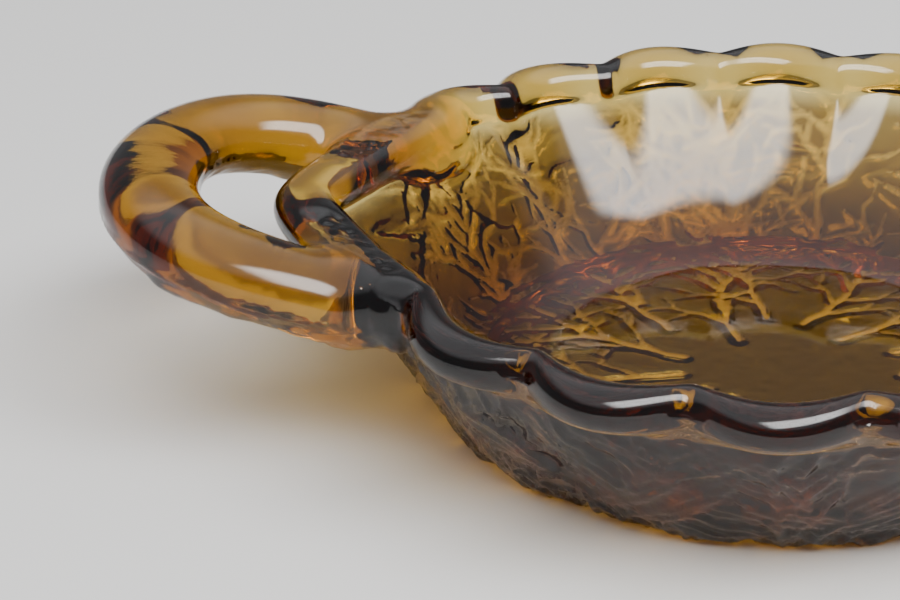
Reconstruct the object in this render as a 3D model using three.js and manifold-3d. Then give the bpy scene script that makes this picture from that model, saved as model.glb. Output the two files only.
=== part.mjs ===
// A low dish of solid pressed amber glass. It is a round bowl drawn out to a point at each end,
// with a thick scalloped rim bead, and a solid loop handle that springs from the two shoulders
// beside each point. The long axis runs along X, the dish rests on Z = 0, and units are mm.

import * as THREE from 'three';
import { LoftGeometry } from 'three/addons/geometries/LoftGeometry.js';
import { mergeGeometries, mergeVertices } from 'three/addons/utils/BufferGeometryUtils.js';
import Module from 'manifold-3d';

const { degToRad, lerp, smoothstep } = THREE.MathUtils;

// Bowl, in plan.
const FOOT_RADIUS = 65;
const RIM_OUTER_RADIUS = 92.5;
const BEAD_WIDTH = 10;
const OUTER_TIP = 110.5;
const INNER_TIP = 92.5;
const POINT_SLOPE = 1.8;
const OUTER_TIP_ROUNDING = 0.1;
const INNER_TIP_ROUNDING = 0.02;
const OUTER_POINT = [degToRad(14), degToRad(32)];
const INNER_POINT = [degToRad(24), degToRad(42)];

// Scallops of the rim, as lobes counted from the Y axis. Those of the -Y side are a little wider.
const FAR_LOBE_PITCH = degToRad(18.5);
const NEAR_LOBE_PITCH = degToRad(22.3);
const LOBE_DEPTH = 7.5;
const LOBE_MEAN = 0.64;
const NOTCH_SOFTNESS = 0.12;
const INNER_LOBE_SHARE = 0.6;
const FAR_LOBE_END = [degToRad(60), degToRad(70)];
const NEAR_LOBE_END = [degToRad(56), degToRad(63)];

// Bowl, in height.
const RIM_HEIGHT = 42;
const POINT_RISE = 1.8;
const RISE_START = degToRad(54);
const RISE_END = degToRad(36);
const BEAD_HALF_HEIGHT = 4.8;
const WALL_SHARE = 0.5;
const WALL_LOBE_SHARE = 0.3;
const WALL_POWER = 0.66;
const FLOOR_HEIGHT = 6;
const FLOOR_RADIUS = 46;
const CAVITY_POWER = 1.8;

// Stations along one arm of a loop handle, from the middle of the loop to the shoulder.
const ARM = [
	{ centre: [-130.2, 0, 44.2], halfWidth: 10.4, halfHeight: 7.2 },
	{ centre: [-117, 29.7, 41.7], halfWidth: 10.2, halfHeight: 8.2 },
	{ centre: [-94.7, 37, 36.8], halfWidth: 9.2, halfHeight: 8.4 },
	{ centre: [-77, 46, 34.6], halfWidth: 6.5, halfHeight: 5.8 },
];

// Clearance between the handles and the bowl.
const GAP = 0.35;
const CLEARANCE_TOP = 60;

// Fineness of the facets.
const RIM_SEGMENTS = 156;
const WALL_RINGS = 5;
const BEAD_RINGS = 8;
const BEAD_RINGS_BELOW = 3;
const CAVITY_RINGS = 7;
const HANDLE_STEPS = 46;
const HANDLE_SIDES = 16;
const WELD = 1e-4;

const amberGlass = new THREE.MeshStandardMaterial({ color: 0x9a5a14, roughness: 0.08, metalness: 0 });
const goldenGlass = new THREE.MeshStandardMaterial({ color: 0xc08020, roughness: 0.08, metalness: 0 });

const wasm = await Module();
wasm.setup();

// Angle away from the Y axis, from 0 at the middle of a side to a quarter turn at a point.
function angleFromSide(angle) {
	return Math.acos(Math.min(Math.abs(Math.sin(angle)), 1));
}

// 0 along the round sides, rising to 1 at each point.
function pointedness(angle, [full, none]) {
	return 1 - smoothstep(Math.PI / 2 - angleFromSide(angle), full, none);
}

// Plan radius of a V-shaped point at each end of the X axis, with its corner rounded.
function pointRadius(angle, tip, rounding) {
	const along = Math.abs(Math.cos(angle));
	const across = Math.hypot(Math.sin(angle), rounding);
	return POINT_SLOPE * tip / (across + POINT_SLOPE * along);
}

// How far the rim stands out at each lobe, and in at each notch.
function scallop(angle) {
	const away = angleFromSide(angle);
	const near = Math.sin(angle) < 0;
	const pitch = near ? NEAR_LOBE_PITCH : FAR_LOBE_PITCH;
	const wave = Math.hypot(Math.cos(Math.PI * away / pitch), NOTCH_SOFTNESS) - LOBE_MEAN;
	return LOBE_DEPTH * wave * (1 - smoothstep(away, ...(near ? NEAR_LOBE_END : FAR_LOBE_END)));
}

function outerRim(angle) {
	const round = RIM_OUTER_RADIUS + scallop(angle);
	return lerp(round, pointRadius(angle, OUTER_TIP, OUTER_TIP_ROUNDING), pointedness(angle, OUTER_POINT));
}

// The rim's inner edge without its flutes.
function plainInnerRim(angle) {
	const round = RIM_OUTER_RADIUS - BEAD_WIDTH;
	return lerp(round, pointRadius(angle, INNER_TIP, INNER_TIP_ROUNDING), pointedness(angle, INNER_POINT));
}

function innerLobe(angle) {
	return INNER_LOBE_SHARE * scallop(angle) * (1 - pointedness(angle, INNER_POINT));
}

function innerRim(angle) {
	return plainInnerRim(angle) + innerLobe(angle);
}

// The rim rises a little from the shoulders to the points.
function rimHeight(angle) {
	const fromTip = Math.PI / 2 - angleFromSide(angle);
	return RIM_HEIGHT + POINT_RISE * (1 - smoothstep(fromTip, RISE_END, RISE_START));
}

// One closed ring around the bowl. place(angle) gives [radius, height].
function ring(place) {
	const points = [];
	for (let i = 0; i < RIM_SEGMENTS; i++) {
		const angle = 2 * Math.PI * i / RIM_SEGMENTS;
		const [radius, height] = place(angle);
		points.push(new THREE.Vector3(radius * Math.cos(angle), radius * Math.sin(angle), height));
	}
	return points;
}

// Outside of the bowl, from the foot to the underside of the bead.
function wallRings() {
	const rings = [];
	for (let i = 0; i <= WALL_RINGS; i++) {
		const up = (i / WALL_RINGS) ** (1 / WALL_POWER);
		rings.push(ring((angle) => {
			const top = plainInnerRim(angle) + WALL_SHARE * BEAD_WIDTH + WALL_LOBE_SHARE * innerLobe(angle);
			const topHeight = rimHeight(angle) - 2 * BEAD_HALF_HEIGHT;
			return [lerp(FOOT_RADIUS, top, up ** WALL_POWER), topHeight * up];
		}));
	}
	return rings;
}

// The rolled bead, from its outer lower side over the top to its inner side.
function beadRings() {
	const start = -Math.PI / 3;
	const end = Math.PI * 0.95;
	const rings = [];
	for (let i = 0; i <= BEAD_RINGS; i++) {
		const turn = lerp(start, end, i / BEAD_RINGS);
		rings.push(ring((angle) => {
			const middle = (outerRim(angle) + innerRim(angle)) / 2;
			const halfWidth = (outerRim(angle) - innerRim(angle)) / 2;
			const centre = rimHeight(angle) - BEAD_HALF_HEIGHT;
			return [middle + halfWidth * Math.cos(turn), centre + BEAD_HALF_HEIGHT * Math.sin(turn)];
		}));
	}
	return rings;
}

// The smooth inside, from just under the bead down to the edge of the flat floor.
function cavityRings() {
	const rings = [];
	for (let i = 1; i <= CAVITY_RINGS; i++) {
		const inward = 1 - i / CAVITY_RINGS;
		rings.push(ring((angle) => {
			const edge = plainInnerRim(angle) + innerLobe(angle) * inward ** 2;
			const top = rimHeight(angle) - BEAD_HALF_HEIGHT - 1;
			const height = FLOOR_HEIGHT + (top - FLOOR_HEIGHT) * inward ** CAVITY_POWER;
			return [lerp(FLOOR_RADIUS, edge, inward), height];
		}));
	}
	return rings;
}

// Leaves only positions, so that vertices at one place can be welded.
function withoutExtras(geometry) {
	const bare = new THREE.BufferGeometry().copy(geometry);
	bare.deleteAttribute('normal');
	bare.deleteAttribute('uv');
	return bare;
}

function bowlGeometry() {
	const sections = [...wallRings(), ...beadRings(), ...cavityRings()];
	const shell = new LoftGeometry(sections, { capStart: true });
	const floor = new THREE.CircleGeometry(FLOOR_RADIUS, RIM_SEGMENTS).translate(0, 0, FLOOR_HEIGHT);
	return mergeVertices(withoutExtras(mergeGeometries([shell, floor])), WELD);
}

// The bowl's outside, moved out and down by the gap and closed above: what the handles are cut by.
function bowlClearance() {
	const grow = (point) => {
		const outward = new THREE.Vector3(point.x, point.y, 0).setLength(GAP);
		return point.clone().add(outward).setZ(point.z - GAP);
	};
	const upToEquator = [...wallRings(), ...beadRings().slice(0, BEAD_RINGS_BELOW)];
	const overTop = ring((angle) => [outerRim(angle), CLEARANCE_TOP]);
	const sections = [...upToEquator, overTop].map((points) => points.map(grow));
	return new LoftGeometry(sections, { capStart: true, capEnd: true });
}

// The stations of the whole loop: one arm backwards on the -Y side, then the other on the +Y side.
function loopStations() {
	const mirrored = ARM.slice(1).map(({ centre: [x, y, z], ...size }) => ({ centre: [x, -y, z], ...size }));
	return [...mirrored.reverse(), ...ARM];
}

// A solid rod of oval section along the loop, ending inside the bowl's shoulders.
function loopGeometry() {
	const stations = loopStations();
	const centres = stations.map(({ centre }) => new THREE.Vector3(...centre));
	const sizes = stations.map(({ halfWidth, halfHeight }) => new THREE.Vector2(halfWidth, halfHeight));
	const centreLine = new THREE.CatmullRomCurve3(centres);
	const sizeLine = new THREE.SplineCurve(sizes);
	const up = new THREE.Vector3(0, 0, 1);
	const sections = [];
	for (let i = 0; i <= HANDLE_STEPS; i++) {
		const along = i / HANDLE_STEPS;
		const centre = centreLine.getPoint(along);
		const size = sizeLine.getPoint(along);
		const side = centreLine.getTangent(along).cross(up).negate().normalize();
		const points = [];
		for (let j = 0; j < HANDLE_SIDES; j++) {
			const turn = 2 * Math.PI * j / HANDLE_SIDES;
			const point = centre.clone();
			point.addScaledVector(side, size.x * Math.cos(turn));
			point.addScaledVector(up, size.y * Math.sin(turn));
			points.push(point);
		}
		sections.push(points);
	}
	return new LoftGeometry(sections, { capStart: true, capEnd: true });
}

// A geometry as a solid for cutting, and back.
function toSolid(geometry) {
	const merged = mergeVertices(withoutExtras(geometry), WELD);
	return new wasm.Manifold(new wasm.Mesh({
		numProp: 3,
		vertProperties: merged.attributes.position.array,
		triVerts: new Uint32Array(merged.index.array),
	}));
}

function toGeometry(solid) {
	const cut = solid.getMesh();
	const geometry = new THREE.BufferGeometry();
	geometry.setAttribute('position', new THREE.BufferAttribute(cut.vertProperties, 3));
	geometry.setIndex(new THREE.BufferAttribute(cut.triVerts, 1));
	geometry.computeVertexNormals();
	return geometry;
}

function named(name, geometry, material) {
	const mesh = new THREE.Mesh(geometry, material);
	mesh.name = name;
	return mesh;
}

const handleGeometry = toGeometry(toSolid(loopGeometry()).subtract(toSolid(bowlClearance())));

// The second handle is the first one's mirror image across the YZ plane.
const dish = new THREE.Group();
dish.add(named('bowl', bowlGeometry(), amberGlass));
dish.add(named('handle_left', handleGeometry, goldenGlass));
const handleRight = named('handle_right', handleGeometry, goldenGlass);
handleRight.scale.x = -1;
dish.add(handleRight);

export default dish;
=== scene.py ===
"""A low two-handled dish of pressed amber glass: smooth inside, leaf and bark relief underneath."""

import math

import bpy
import numpy as np
import openvdb
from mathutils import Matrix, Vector, noise


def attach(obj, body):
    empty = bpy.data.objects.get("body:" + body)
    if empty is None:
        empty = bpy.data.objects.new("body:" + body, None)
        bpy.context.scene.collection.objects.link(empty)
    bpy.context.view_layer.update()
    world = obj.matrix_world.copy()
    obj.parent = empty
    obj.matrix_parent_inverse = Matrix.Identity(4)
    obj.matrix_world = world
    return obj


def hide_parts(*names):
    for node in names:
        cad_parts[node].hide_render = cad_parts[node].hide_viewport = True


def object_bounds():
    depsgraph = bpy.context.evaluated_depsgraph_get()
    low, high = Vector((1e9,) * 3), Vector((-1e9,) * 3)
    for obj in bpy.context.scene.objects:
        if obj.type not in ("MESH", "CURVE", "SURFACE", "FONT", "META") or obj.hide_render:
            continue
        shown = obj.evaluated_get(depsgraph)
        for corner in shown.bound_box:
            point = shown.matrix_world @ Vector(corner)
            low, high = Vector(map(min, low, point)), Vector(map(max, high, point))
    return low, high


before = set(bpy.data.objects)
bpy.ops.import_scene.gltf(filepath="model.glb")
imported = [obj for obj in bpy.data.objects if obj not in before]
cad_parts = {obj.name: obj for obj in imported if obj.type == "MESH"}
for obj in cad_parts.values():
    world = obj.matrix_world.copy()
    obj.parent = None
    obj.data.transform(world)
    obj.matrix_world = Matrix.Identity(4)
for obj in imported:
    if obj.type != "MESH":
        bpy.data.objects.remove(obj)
cad_box = [list(corner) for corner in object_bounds()]

MM = 0.001

# The dish in plan, in millimetres. Lobes are the scallops of the rim, counted from the Y axis.
FOOT_RADIUS = 65.0
RIM_OUTER_RADIUS = 92.5
BEAD_WIDTH = 10.0
OUTER_TIP = 110.5
INNER_TIP = 92.5
POINT_SLOPE = 1.8
OUTER_TIP_ROUNDING = 0.1
INNER_TIP_ROUNDING = 0.02
OUTER_POINT = np.radians([14, 32])
INNER_POINT = np.radians([24, 42])
FAR_LOBE_PITCH = math.radians(18.5)
NEAR_LOBE_PITCH = math.radians(22.3)
FAR_LOBE_END = np.radians([60, 70])
NEAR_LOBE_END = np.radians([56, 63])
LOBE_DEPTH = 7.5
LOBE_MEAN = 0.64
NOTCH_SOFTNESS = 0.12
INNER_LOBE_SHARE = 0.6

# The dish in height.
RIM_HEIGHT = 42.0
POINT_RISE = 1.8
RISE_START = math.radians(54)
RISE_END = math.radians(36)
BEAD_HALF_HEIGHT = 4.8
LIP_BELOW_BEAD = 1.0
WALL_SHARE = 0.5
WALL_LOBE_SHARE = 0.3
WALL_POWER = 0.66
FLOOR_HEIGHT = 6.0
FLOOR_RADIUS = 46.0
CAVITY_POWER = 1.8
FLUTE_FADE = 2.5
FLUTE_REACH = 1.2

# Roundings where shapes meet.
FOOT_ROUNDING = 3.0
LIP_ROUNDING = 1.0
BEAD_BLEND = 1.6
HANDLE_BLEND = 6.5

# One arm of a loop handle, from the middle of the loop to the shoulder: the centre line's x, y
# and z, and the rod's half width and half height.
ARM = np.array([
    (-130.2, 0, 44.2, 10.4, 7.2),
    (-117.0, 29.7, 41.7, 10.2, 8.2),
    (-94.7, 37.0, 36.8, 9.2, 8.4),
    (-75.0, 43.0, 35.6, 7.0, 6.2),
])
ARM_POWERS = 3
ARM_STATIONS = 25
ARM_REFINEMENTS = 4
ARM_FROM_X = 60
ARM_FROM_Z = 15

# Grid for the glass surface.
VOXEL = 0.88
MARGIN = 3.0
SLAB = 16
OUTSIDE_VALUE = 5.0
REFINEMENTS = 3
LEAST_STEEPNESS = 0.05
LEAST_HEIGHT = 0.02

# Stems of the underside. A run is the distance from the foot's edge: outwards up the wall, or
# negative towards the middle of the foot. Pairs are the lowest and highest value of a random draw.
SEED = 11
STEM_COUNT = 30
STEM_STEP = 4.0
STEM_HALF_WIDTH = 2.3
STEM_HEIGHT = 1.35
STEM_TAPER = 0.65
THINNEST = 0.6
STEM_AT_EDGE = (-12, -3)
STEM_AT_MIDDLE = (-50, -32)
STEM_REACH = (34, 40)
STEM_SPACING = (-0.25, 0.25)
STEM_LEAN = 0.15
STEM_WANDER = 0.14
STEM_MEMORY = 0.6
WALL_SPREAD = 0.55
LEAST_RADIUS = 8
FORKS = 2
FORK_CHANCE = 0.8
FORK_ANGLE = (0.4, 0.85)
FORK_LENGTH = (0.22, 0.42)
FORK_WIDTH = 0.75
FORK_HEIGHT = 0.8

# Leaf blades of the underside.
WALL_RUN = 42.0
BLADE_COUNT = 70
BLADE_HEADING = (0.75, 1.5)
BLADE_LENGTH = (22, 44)
BLADE_RUN = (-6, WALL_RUN - 12)
BLADE_SLENDERNESS = (0.11, 0.17)
BLADE_LAYER = (0.2, 0.9)
BLADE_SKEW = 0.8
BLADE_FULLNESS = 0.75
BLADE_EDGE = 1.1
BLADE_SHARE = 0.2
BLADE_TILT = 0.5
RIB_HEIGHT = 0.4
VEIN_PITCH = 2.1
VEIN_LEAN = 0.12
VEIN_HEIGHT = 0.14

# Noise: the size of its features in millimetres, its octaves and its seed.
LUMPS = (13.0, 2, 8.1)
BARK = (2.6, 3, 1.3)
WARP = (9.0, 2, 3.7)
WARP_DEPTH = 1.6
WARP_RADIUS = 80.0
NOISE_SMOOTHNESS = 0.9
NOISE_LACUNARITY = 2.1

# Heights of the relief in millimetres, for each unit of leaves, lumps or bark.
WALL_LUMPS = 0.5
WALL_BARK = 0.05
WALL_LIFT = 0.1
HEEL_LUMPS = 1.3
HEEL_LOWEST = -0.2
FOOT_BARK = 0.06
FOOT_RECESS = 1.4
ROD_LUMPS = 1.5
ROD_LUMP_LIFT = 0.25
ROD_LEAVES = 0.3
ROD_BARK = 0.05
STRIP_BARK = 0.45
STRIP_LUMPS = 0.35
STRIP_SINK = 0.6
SEAM_HEIGHT = 0.45
SEAM_DROP = 2.0
SEAM_WIDTH = 0.8
SEAM_LEAST = 0.02

# Where each kind of relief fades in or out, in millimetres and, around the rim, in radians.
WALL_SKIN = (1.2, 2.2)
BELOW_BEAD = (-1, 5)
FOOT_SKIN = (0.4, 2.5)
FOOT_MARGIN = 2
FOOT_EDGE = (1, 5)
HEEL_RUN = (2, 11)
ROD_SKIN = (0.8, 1.6)
UNDER_ROD = (1.8, 5.5)
STRIP_MARGIN = (3, 5)
STRIP_LEVEL = (-3, -2)
STRIP_FROM_ROD = (0.2, 1.0)
STRIP_START = np.radians([6, 10])
STRIP_END = np.radians([26, 32])
LEAST_MARK = 0.001
NORMAL_GAIN = 20

# How strongly the strip and the underside of an arm take the painted light of the pressed side: its
# painted shade and painted glow.
STRIP_PAINTED_LIGHT = 0.5
ROD_PAINTED_LIGHT = 0.25

# Glass. On the pressed side, painted shade darkens the ground between the stems and a painted golden
# glow lights the stems.
GLASS_IOR = 1.52
ABSORPTION_COLOUR = (0.836, 0.684, 0.04, 1)
ABSORPTION_DENSITY = 250
WHITE = (1, 1, 1, 1)
# Painted shade for the ground between the stems, and painted golden glow for the stems, with where
# each begins on the ramp.
GROUND_PAINTED_SHADE = (0.15, 0.10, 0.022, 1)
GROUND_UP_TO = 0.2
STEM_PAINTED_GLOW = (1.0, 0.8, 0.45, 1)
STEM_FROM = 0.75
POLISH = (0.01, 0.05)
PRESSED_ROUGHNESS = 0.03
HAZE_SCALE = 45
GRAIN_SCALE = 420
NOISE_DETAIL = 4
GRAIN_STRENGTH = 0.25
GRAIN_DEPTH = 0.00025

# Floor, room and lamp. A level is the upward part of a direction: 0 at eye level, 1 overhead.
FLOOR_SIZE = 6
FLOOR_COLOUR = (0.5, 0.495, 0.485, 1)
FLOOR_ROUGHNESS = 0.8
ROOM_COLOUR = (0.86, 0.87, 0.9, 1)
ROOM_LEVELS = (0.45, 0.75)
ROOM_STRENGTH = (0.28, 1.5)
LAMP_EDGE = 0.22
LAMP_MIDDLE = 0.5

# Camera, close to the left handle and looking down along the dish.
ELEVATION = math.radians(25.6)
AZIMUTH = math.radians(4.5)
DISTANCE = 0.78
FOCAL_LENGTH = 151.84
SENSOR_WIDTH = 36
RIM_MIDDLE = Vector((0, 0, 0.041))
TO_THE_LEFT = 0.0678
DOWNWARDS = 0.0183


def smoothstep(x, low, high):
    t = np.clip((x - low) / (high - low), 0, 1)
    return t * t * (3 - 2 * t)


def smooth_union(a, b, blend):
    overlap = np.maximum(blend - np.abs(a - b), 0) / blend
    return np.minimum(a, b) - overlap * overlap * blend / 4


def smooth_cut(a, b, blend):
    """What is inside both a and b, with a rounded edge."""
    return -smooth_union(-a, -b, blend)


def oval(across, up, half_width, half_height):
    """Rough signed distance to an oval section."""
    near = np.hypot(across / half_width, up / half_height)
    steep = np.hypot(across / half_width**2, up / half_height**2)
    return near * (near - 1) / np.maximum(steep, 1e-4)


class Outline:
    """The rim's plan radii and height in the direction of each point of an array."""

    def __init__(self, x, y):
        self.radius = np.hypot(x, y) + 1e-6
        along = np.abs(x) / self.radius
        across = np.abs(y) / self.radius
        away = np.arctan2(along, across)
        self.from_tip = np.pi / 2 - away

        near = y < 0
        pitch = np.where(near, NEAR_LOBE_PITCH, FAR_LOBE_PITCH)
        start, end = (np.where(near, *pair) for pair in zip(NEAR_LOBE_END, FAR_LOBE_END))
        wave = np.hypot(np.cos(np.pi * away / pitch), NOTCH_SOFTNESS) - LOBE_MEAN
        lobe = LOBE_DEPTH * wave * (1 - smoothstep(away, start, end))

        def point(tip, rounding):
            return POINT_SLOPE * tip / (np.hypot(across, rounding) + POINT_SLOPE * along)

        outer_pointed = 1 - smoothstep(self.from_tip, *OUTER_POINT)
        inner_pointed = 1 - smoothstep(self.from_tip, *INNER_POINT)
        outer_round = RIM_OUTER_RADIUS + lobe
        inner_round = RIM_OUTER_RADIUS - BEAD_WIDTH
        outer_point = point(OUTER_TIP, OUTER_TIP_ROUNDING)
        inner_point = point(INNER_TIP, INNER_TIP_ROUNDING)
        self.outer = outer_round + (outer_point - outer_round) * outer_pointed
        self.plain_inner = inner_round + (inner_point - inner_round) * inner_pointed
        self.inner_lobe = INNER_LOBE_SHARE * lobe * (1 - inner_pointed)
        self.inner = self.plain_inner + self.inner_lobe
        self.height = RIM_HEIGHT + POINT_RISE * (1 - smoothstep(self.from_tip, RISE_END, RISE_START))


def wall_distance(line, z):
    """Rough distance outwards from the plain outer wall, below the bead."""
    wall_top = line.height - 2 * BEAD_HALF_HEIGHT
    under_bead = line.plain_inner + WALL_SHARE * BEAD_WIDTH + WALL_LOBE_SHARE * line.inner_lobe
    up = np.clip(z, LEAST_HEIGHT, None) / wall_top
    reach = under_bead - FOOT_RADIUS
    wall_radius = FOOT_RADIUS + reach * up**WALL_POWER
    lean = WALL_POWER * reach * up ** (WALL_POWER - 1) / wall_top
    return (line.radius - wall_radius) / np.sqrt(1 + lean**2)


def cavity_distance(line, z):
    """Rough distance upwards from the smooth, fluted inside."""
    lip = line.height - BEAD_HALF_HEIGHT - LIP_BELOW_BEAD
    inward = np.clip((line.radius - FLOOR_RADIUS) / (line.plain_inner - FLOOR_RADIUS), 0, None)
    fluted = line.plain_inner + line.inner_lobe * np.minimum(inward, FLUTE_REACH) ** FLUTE_FADE
    inward = np.clip((line.radius - FLOOR_RADIUS) / (fluted - FLOOR_RADIUS), 0, None)
    rise = (lip - FLOOR_HEIGHT) * inward**CAVITY_POWER
    steepness = CAVITY_POWER * (lip - FLOOR_HEIGHT) * inward ** (CAVITY_POWER - 1)
    slope = steepness / (line.inner - FLOOR_RADIUS)
    return (z - FLOOR_HEIGHT - rise) / np.sqrt(1 + slope**2)


def bowl_field(x, y, z):
    """Rough signed distance to the bowl, negative in the glass."""
    line = Outline(x, y)
    outside = smooth_cut(wall_distance(line, z), -z, FOOT_ROUNDING)
    above = z - line.height + BEAD_HALF_HEIGHT
    shell = np.maximum(smooth_cut(outside, cavity_distance(line, z), LIP_ROUNDING), above)
    half_width = (line.outer - line.inner) / 2
    middle = (line.outer + line.inner) / 2
    bead = oval(line.radius - middle, above, half_width, BEAD_HALF_HEIGHT)
    return smooth_union(shell, bead, BEAD_BLEND)


def arm_polynomials():
    """Even powers, and odd powers for y, so that the two arms meet smoothly."""
    reach = np.cumsum(np.linalg.norm(np.diff(ARM[:, :3], axis=0), axis=1))
    t = reach / reach[-1]
    curves = []
    for column in range(ARM.shape[1]):
        first_power = 1 if column == 1 else 2
        powers = first_power + 2 * np.arange(ARM_POWERS)
        change = np.linalg.solve(t[:, None] ** powers, ARM[1:, column] - ARM[0, column])
        coefficients = np.zeros(powers[-1] + 1)
        coefficients[0] = ARM[0, column]
        coefficients[powers] = change
        curves.append(np.polynomial.Polynomial(coefficients))
    return curves


*ARM_CURVE, ROD_HALF_WIDTH, ROD_HALF_HEIGHT = arm_polynomials()
ARM_SLOPE = [curve.deriv() for curve in ARM_CURVE]


def arm_place(x, y, z):
    """Nearest station along the arm, and offsets across and up from its centre line."""
    point = np.stack([-np.abs(x), np.abs(y), z])

    def offset_and_slope(t):
        offset = [point[k] - ARM_CURVE[k](t) for k in range(3)]
        return offset, [ARM_SLOPE[k](t) for k in range(3)]

    stations = np.linspace(0, 1, ARM_STATIONS)
    samples = np.stack([curve(stations) for curve in ARM_CURVE])
    best = np.full(x.shape, np.inf)
    t = np.zeros_like(x)
    for i, station in enumerate(stations):
        distance = sum((point[k] - samples[k, i]) ** 2 for k in range(3))
        t = np.where(distance < best, station, t)
        best = np.minimum(distance, best)
    for _ in range(ARM_REFINEMENTS):
        offset, slope = offset_and_slope(t)
        step = sum(o * s for o, s in zip(offset, slope)) / sum(s * s for s in slope)
        t = np.clip(t + step, 0, 1)
    offset, slope = offset_and_slope(t)
    across = (offset[1] * slope[0] - offset[0] * slope[1]) / np.hypot(slope[0], slope[1])
    up = np.sqrt(np.maximum(sum(o * o for o in offset) - across**2, 0))
    return t, -across, np.where(offset[2] < 0, -up, up)


def near_arms(x, z):
    return (np.abs(x) > ARM_FROM_X) & (z > ARM_FROM_Z)


def rod_distance(t, across, up):
    return oval(across, up, ROD_HALF_WIDTH(t), ROD_HALF_HEIGHT(t))


def dish_field(x, y, z):
    """Rough signed distance to the whole dish, negative in the glass."""
    body = bowl_field(x, y, z)
    near = near_arms(x, z)
    if near.any():
        handles = rod_distance(*arm_place(x[near], y[near], z[near]))
        body[near] = smooth_union(body[near], handles, HANDLE_BLEND)
    return body


def field_grid():
    low = np.array(cad_box[0]) / MM - MARGIN
    high = np.array(cad_box[1]) / MM + MARGIN
    counts = np.ceil((high - low) / VOXEL).astype(int)
    axes = [low[k] + VOXEL * np.arange(counts[k]) for k in range(3)]
    values = np.empty(counts)
    for start in range(0, counts[0], SLAB):
        part = slice(start, start + SLAB)
        x, y, z = np.meshgrid(axes[0][part], axes[1], axes[2], indexing="ij")
        values[part] = dish_field(x, y, z)
    return low, values


def gradient(points, step=0.02):
    x, y, z = points.T
    here = dish_field(x, y, z)
    there = [dish_field(x + step, y, z), dish_field(x, y + step, z), dish_field(x, y, z + step)]
    return here, np.stack([(value - here) / step for value in there], 1)


def unit(vectors):
    return vectors / np.linalg.norm(vectors, axis=1)[:, None]


def glass_surface():
    """Points, outward normals and faces of the plain dish, before its relief."""
    low, values = field_grid()
    grid = openvdb.FloatGrid(OUTSIDE_VALUE)
    grid.copyFromArray(values.astype(np.float32))
    points, triangles, quads = grid.convertToPolygons(0.0, 0.0)
    points = np.asarray(points, float) * VOXEL + low
    for _ in range(REFINEMENTS):
        here, slope = gradient(points)
        steepness = np.maximum((slope**2).sum(1), LEAST_STEEPNESS)
        push = np.clip(here / steepness, -VOXEL / 2, VOXEL / 2)
        points -= slope * push[:, None]
    return points, unit(gradient(points)[1]), [*quads.tolist(), *triangles.tolist()]


def waves(points, size, octaves, seed):
    """Smooth noise of each point, from about -1 to 1."""
    shift = Vector((seed, -seed, 0.5 * seed))
    kind = (NOISE_SMOOTHNESS, NOISE_LACUNARITY, octaves)
    return np.array([noise.fractal(Vector(point) / size + shift, *kind) for point in points])


class Relief:
    """Stems and leaf blades raised from an unrolled surface, keeping the highest at each point."""

    def __init__(self, turn, run, radius):
        self.turn = turn
        self.run = run
        self.radius = radius
        self.stems = np.zeros_like(turn)
        self.blades = np.zeros_like(turn)

    def offsets(self, turn, run, heading):
        """Distance along a heading and across it. A heading of 0 points outwards and up."""
        sideways = ((self.turn - turn + np.pi) % (2 * np.pi) - np.pi) * self.radius
        upward = self.run - run
        along = upward * math.cos(heading) + sideways * math.sin(heading)
        across = sideways * math.cos(heading) - upward * math.sin(heading)
        return along, across

    def stem(self, turn, run, heading, half_width, height):
        along, across = self.offsets(turn, run, heading)
        beside = np.hypot(across, along - np.clip(along, 0, STEM_STEP))
        self.stems = np.maximum(self.stems, height * (1 - smoothstep(beside, 0, half_width)))

    def blade(self, turn, run, heading, length, half_width, layer):
        """A pointed leaf with a raised edge, a midrib, fine veins, and one side higher."""
        along, across = self.offsets(turn, run, heading)
        share = np.clip(along / length, 0, 1)
        edge = half_width * np.sin(np.pi * share**BLADE_SKEW) ** BLADE_FULLNESS
        inside = smoothstep(edge - np.abs(across), 0, BLADE_EDGE)
        rib = RIB_HEIGHT * (1 - smoothstep(np.abs(across), 0, BLADE_EDGE)) * (1 - share)
        slanted = np.abs(across) - VEIN_LEAN * along
        veins = VEIN_HEIGHT * np.cos(2 * np.pi * slanted / VEIN_PITCH)
        tilt = BLADE_TILT * across / half_width
        self.blades = np.maximum(self.blades, inside * (layer + rib + veins + tilt))

    def sprig(self, rng, turn, run, heading, length, half_width, height, forks):
        """A stem in short joints that bends, tapers and branches to alternate sides."""
        side = rng.choice([-1, 1])
        joints = max(int(length / STEM_STEP), 2)
        drift = heading
        for joint in range(joints):
            taper = 1 - STEM_TAPER * joint / joints
            self.stem(turn, run, heading, half_width * max(taper, THINNEST), height * taper)
            run += STEM_STEP * math.cos(heading)
            local_radius = FOOT_RADIUS + (run if run < 0 else WALL_SPREAD * run)
            turn += STEM_STEP * math.sin(heading) / max(local_radius, LEAST_RADIUS)
            heading = drift + STEM_MEMORY * (heading - drift) + rng.normal(0, STEM_WANDER)
            if forks and joint and rng.random() < FORK_CHANCE:
                fork = heading + side * rng.uniform(*FORK_ANGLE)
                reach = length * rng.uniform(*FORK_LENGTH)
                width, rise = FORK_WIDTH * half_width, FORK_HEIGHT * height
                self.sprig(rng, turn, run, fork, reach, width, rise, forks - 1)
                side = -side


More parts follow.
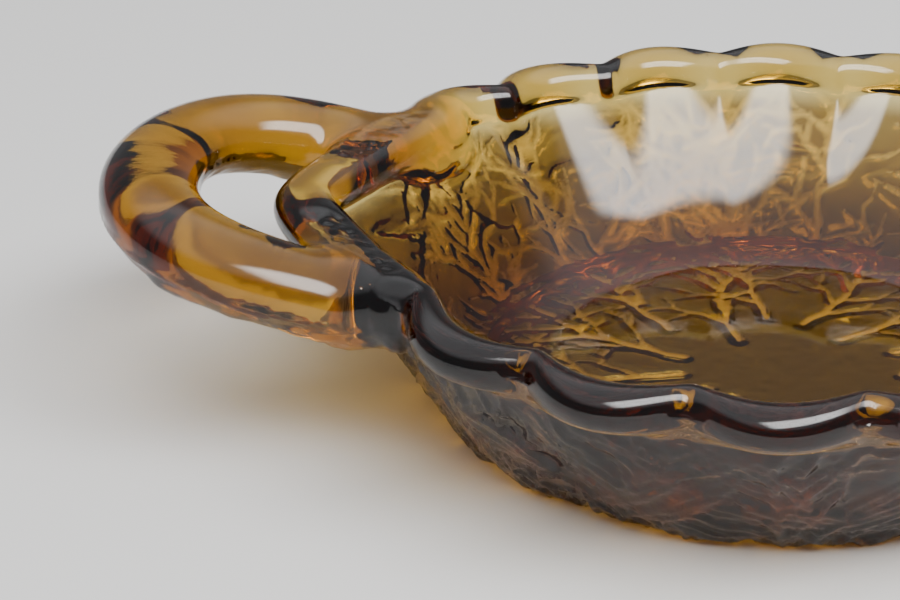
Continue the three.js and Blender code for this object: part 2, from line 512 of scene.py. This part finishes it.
def leaf_relief(turn, run, radius):
    """Heights in mm of the branching stems, and of the overlapping blades."""
    rng = np.random.default_rng(SEED)
    relief = Relief(turn, run, radius)
    for _ in range(BLADE_COUNT):
        heading = rng.choice([-1, 1]) * rng.uniform(*BLADE_HEADING)
        length = rng.uniform(*BLADE_LENGTH)
        blade_turn = rng.uniform(0, 2 * np.pi)
        blade_run = rng.uniform(*BLADE_RUN)
        half_width = length * rng.uniform(*BLADE_SLENDERNESS)
        layer = rng.uniform(*BLADE_LAYER)
        relief.blade(blade_turn, blade_run, heading, length, half_width, layer)
    for i in range(STEM_COUNT):
        stem_run = rng.uniform(*(STEM_AT_EDGE if i % 2 else STEM_AT_MIDDLE))
        stem_turn = 2 * np.pi * (i + rng.uniform(*STEM_SPACING)) / STEM_COUNT
        heading = rng.normal(0, STEM_LEAN)
        length = rng.uniform(*STEM_REACH) - stem_run
        size = (length, STEM_HALF_WIDTH, STEM_HEIGHT)
        relief.sprig(rng, stem_turn, stem_run, heading, *size, FORKS)
    return relief.stems, relief.blades


def pressed_side(points, normals):
    """The points with their relief, and for each point how strongly it belongs to the pressed
    side, is raised as a stem, takes the painted shade and painted glow, and has lost its plain
    normal."""
    x, y, z = points.T
    line = Outline(x, y)

    # Where each kind of relief lies.
    below_bead = line.height - 2 * BEAD_HALF_HEIGHT - z
    on_wall = 1 - smoothstep(np.abs(wall_distance(line, z)), *WALL_SKIN)
    on_wall *= smoothstep(below_bead, *BELOW_BEAD)
    on_foot = (1 - smoothstep(z, *FOOT_SKIN)) * (line.radius < FOOT_RADIUS + FOOT_MARGIN)
    on_wall *= 1 - on_foot

    up = np.zeros_like(x)
    rod = np.full_like(x, np.inf)
    near = near_arms(x, z)
    t, across, up[near] = arm_place(x[near], y[near], z[near])
    rod[near] = rod_distance(t, across, up[near])
    on_rod = (1 - smoothstep(np.abs(rod), *ROD_SKIN)) * (1 - on_wall)
    under_rod = on_rod * smoothstep(-up, *UNDER_ROD)

    # The rough strip between the lip and an arm.
    strip = smoothstep(line.radius - line.inner, *STRIP_MARGIN)
    strip *= smoothstep(line.outer - line.radius, *STRIP_MARGIN)
    strip *= smoothstep(line.from_tip, *STRIP_START)
    strip *= 1 - smoothstep(line.from_tip, *STRIP_END)
    strip *= smoothstep(z - line.height, *STRIP_LEVEL) * smoothstep(rod, *STRIP_FROM_ROD)

    marked = np.max([on_wall, on_foot, under_rod, strip], axis=0)
    chosen = marked > LEAST_MARK
    there = points[chosen]
    from_foot = line.radius - FOOT_RADIUS
    warp = WARP_DEPTH * waves(there, *WARP)
    turn = np.arctan2(y, x)[chosen] + warp / WARP_RADIUS
    run = np.where(on_foot > 0.5, from_foot, np.hypot(from_foot, z))[chosen]
    stems, blades = leaf_relief(turn, run + warp, line.radius[chosen])
    leaves = np.maximum(stems, blades)
    lumps = waves(there, *LUMPS)
    bark = waves(there, *BARK)

    heel = HEEL_LUMPS * (1 - smoothstep(run, *HEEL_RUN)) * np.maximum(lumps, HEEL_LOWEST)
    wall_height = leaves + WALL_LUMPS * lumps + WALL_BARK * bark + heel + WALL_LIFT
    foot_height = np.minimum(leaves + FOOT_BARK * bark - FOOT_RECESS, 0)
    foot_height *= smoothstep(-run, *FOOT_EDGE)
    rod_height = ROD_LUMPS * np.maximum(lumps + ROD_LUMP_LIFT, 0)
    rod_height += ROD_LEAVES * leaves + ROD_BARK * bark
    strip_height = STRIP_BARK * bark + STRIP_LUMPS * lumps - STRIP_SINK
    height = on_wall[chosen] * wall_height + on_foot[chosen] * foot_height
    height += under_rod[chosen] * rod_height + strip[chosen] * strip_height

    moved = points.copy()
    moved[chosen] += normals[chosen] * height[:, None]
    seam = on_rod * SEAM_HEIGHT * np.exp(-(((up + SEAM_DROP) / SEAM_WIDTH) ** 2))
    moved += normals * seam[:, None]
    moved[:, 2] = np.maximum(moved[:, 2], 0)
    raised = np.zeros_like(x)
    raised[chosen] = np.clip((stems + BLADE_SHARE * blades) / STEM_HEIGHT, 0, 1)
    # Painted light: how strongly each point takes the painted shade on the ground and painted glow
    # on the stems.
    painted_light_share = np.clip(on_wall + on_foot + STRIP_PAINTED_LIGHT * strip + ROD_PAINTED_LIGHT * under_rod, 0, 1)
    return moved, marked, raised, painted_light_share, np.maximum(marked, seam > SEAM_LEAST)


def dish_mesh():
    """The glass as one closed mesh, with exact normals where it is smooth."""
    points, normals, faces = glass_surface()
    points, marked, raised, painted_light_share, reshaped = pressed_side(points, normals)
    mesh = bpy.data.meshes.new("amber_dish")
    mesh.from_pydata((points * MM).tolist(), [], faces)
    mesh.validate()
    mesh.polygons.foreach_set("use_smooth", [True] * len(mesh.polygons))
    for name, values in (("pressed", marked), ("raised", raised), ("painted_light_share", painted_light_share)):
        attribute = mesh.attributes.new(name, "FLOAT", "POINT")
        attribute.data.foreach_set("value", values.astype(np.float32))
    meshed = np.empty(3 * len(points), np.float32)
    mesh.vertices.foreach_get("normal", meshed)
    share = np.clip(reshaped * NORMAL_GAIN, 0, 1)[:, None]
    blended = unit(normals * (1 - share) + meshed.reshape(-1, 3) * share)
    mesh.normals_split_custom_set_from_vertices(blended.tolist())
    return mesh


class Tree:
    """Short ways to add nodes, set inputs and join them."""

    def __init__(self, owner):
        owner.use_nodes = True
        self.tree = owner.node_tree
        self.nodes = self.tree.nodes

    def add(self, kind, **inputs):
        """A new node, with values for its inputs: an underscore stands for a space."""
        node = self.nodes.new("ShaderNode" + kind)
        for name, value in inputs.items():
            node.inputs[name.replace("_", " ")].default_value = value
        return node

    def math(self, operation, *sources):
        """A math node. Each source is a number or an output."""
        node = self.add("Math")
        node.operation = operation
        for source, socket in zip(sources, node.inputs):
            if isinstance(source, (int, float)):
                socket.default_value = source
            else:
                self.join(source, socket)
        return node.outputs["Value"]

    def attribute(self, name):
        node = self.add("Attribute")
        node.attribute_name = name
        return node.outputs["Fac"]

    def join(self, output, socket):
        self.tree.links.new(output, socket)


def glass_material():
    """Deep amber glass: polished inside and on the rim, finely grained on the pressed side, where
    painted shade darkens the ground and a painted golden glow lights the stems.
    """
    material = bpy.data.materials.new("amber_glass")
    tree = Tree(material)
    shader = tree.nodes["Principled BSDF"]
    shader.inputs["Transmission Weight"].default_value = 1.0
    shader.inputs["IOR"].default_value = GLASS_IOR
    place = tree.add("TexCoord").outputs["Object"]
    pressed = tree.attribute("pressed")

    haze = tree.add("TexNoise", Scale=HAZE_SCALE, Detail=NOISE_DETAIL)
    tree.join(place, haze.inputs["Vector"])
    polish = tree.add("MapRange", To_Min=POLISH[0], To_Max=POLISH[1])
    tree.join(haze.outputs["Fac"], polish.inputs["Value"])
    roughness = tree.math("MULTIPLY_ADD", pressed, PRESSED_ROUGHNESS, polish.outputs["Result"])
    tree.join(roughness, shader.inputs["Roughness"])

    grain = tree.add("TexNoise", Scale=GRAIN_SCALE, Detail=NOISE_DETAIL)
    tree.join(place, grain.inputs["Vector"])
    bump = tree.add("Bump", Strength=GRAIN_STRENGTH, Distance=GRAIN_DEPTH)
    tree.join(tree.math("MULTIPLY", grain.outputs["Fac"], pressed), bump.inputs["Height"])
    tree.join(bump.outputs["Normal"], shader.inputs["Normal"])

    # Painted light: the ramp paints shade on the ground between the stems and a golden glow on the
    # stems, mixed in where the pressed side takes it.
    painted_light_ramp = tree.add("ValToRGB")
    ground, stem = painted_light_ramp.color_ramp.elements
    ground.position = GROUND_UP_TO
    ground.color = GROUND_PAINTED_SHADE
    stem.position = STEM_FROM
    stem.color = STEM_PAINTED_GLOW
    tree.join(tree.attribute("raised"), painted_light_ramp.inputs["Fac"])
    tint = tree.add("Mix")
    tint.data_type = "RGBA"
    tint.inputs["A"].default_value = WHITE
    tree.join(tree.attribute("painted_light_share"), tint.inputs["Factor"])
    tree.join(painted_light_ramp.outputs["Color"], tint.inputs["B"])
    tree.join(tint.outputs["Result"], shader.inputs["Base Color"])

    body = tree.add("VolumeAbsorption", Color=ABSORPTION_COLOUR, Density=ABSORPTION_DENSITY)
    tree.join(body.outputs["Volume"], tree.nodes["Material Output"].inputs["Volume"])
    return material


def placed(name, data):
    thing = bpy.data.objects.new(name, data)
    bpy.context.scene.collection.objects.link(thing)
    return thing


dish = placed("amber_dish", dish_mesh())
dish.data.materials.append(glass_material())
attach(dish, "root")
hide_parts("bowl", "handle_left", "handle_right")

# Floor.
bpy.ops.mesh.primitive_plane_add(size=FLOOR_SIZE)
floor = bpy.context.object
floor.name = "floor"
paint = bpy.data.materials.new("floor_paint")
surface = Tree(paint).nodes["Principled BSDF"]
surface.inputs["Base Color"].default_value = FLOOR_COLOUR
surface.inputs["Roughness"].default_value = FLOOR_ROUGHNESS
floor.data.materials.append(paint)

# Camera.
level = math.cos(ELEVATION)
back = Vector((math.sin(AZIMUTH) * level, -math.cos(AZIMUTH) * level, math.sin(ELEVATION)))
right = Vector((math.cos(AZIMUTH), math.sin(AZIMUTH), 0))
aim = RIM_MIDDLE - right * TO_THE_LEFT - right.cross(-back) * DOWNWARDS
camera = placed("camera", bpy.data.cameras.new("camera"))
camera.data.sensor_width = SENSOR_WIDTH
camera.data.lens = FOCAL_LENGTH
camera.location = aim + back * DISTANCE
camera.rotation_euler = back.to_track_quat("Z", "Y").to_euler()
bpy.context.scene.camera = camera


def soft_room():
    """A grey room, brighter overhead than at eye level."""
    world = bpy.data.worlds.new("soft_room")
    tree = Tree(world)
    background = tree.nodes["Background"]
    background.inputs["Color"].default_value = ROOM_COLOUR
    direction = tree.add("TexCoord")
    part = tree.add("SeparateXYZ")
    tree.join(direction.outputs["Generated"], part.inputs["Vector"])
    height = tree.add("MapRange", From_Min=ROOM_LEVELS[0], From_Max=ROOM_LEVELS[1],
                      To_Min=ROOM_STRENGTH[0], To_Max=ROOM_STRENGTH[1])
    height.interpolation_type = "SMOOTHSTEP"
    tree.join(part.outputs["Z"], height.inputs["Value"])
    tree.join(height.outputs["Result"], background.inputs["Strength"])
    return world


def softbox(name, location, width, height, watts):
    """A lamp facing the dish, bright in the middle and fading towards its edges."""
    lamp = placed(name, bpy.data.lights.new(name, "AREA"))
    lamp.data.shape = "RECTANGLE"
    lamp.data.size = width
    lamp.data.size_y = height
    lamp.data.energy = watts
    tree = Tree(lamp.data)
    split = tree.add("SeparateXYZ")
    tree.join(tree.add("NewGeometry").outputs["Parametric"], split.inputs["Vector"])
    fades = []
    for axis in ("X", "Y"):
        fade = tree.add("MapRange", From_Max=LAMP_EDGE)
        fade.interpolation_type = "SMOOTHSTEP"
        from_edge = tree.math("PINGPONG", split.outputs[axis], LAMP_MIDDLE)
        tree.join(from_edge, fade.inputs["Value"])
        fades.append(fade.outputs["Result"])
    tree.join(tree.math("MULTIPLY", *fades), tree.nodes["Emission"].inputs["Strength"])
    lamp.location = location
    lamp.rotation_euler = Vector(location).to_track_quat("Z", "Y").to_euler()


bpy.context.scene.world = soft_room()
softbox("window", location=(0.36, -0.5, 1.06), width=1.9, height=0.75, watts=62)
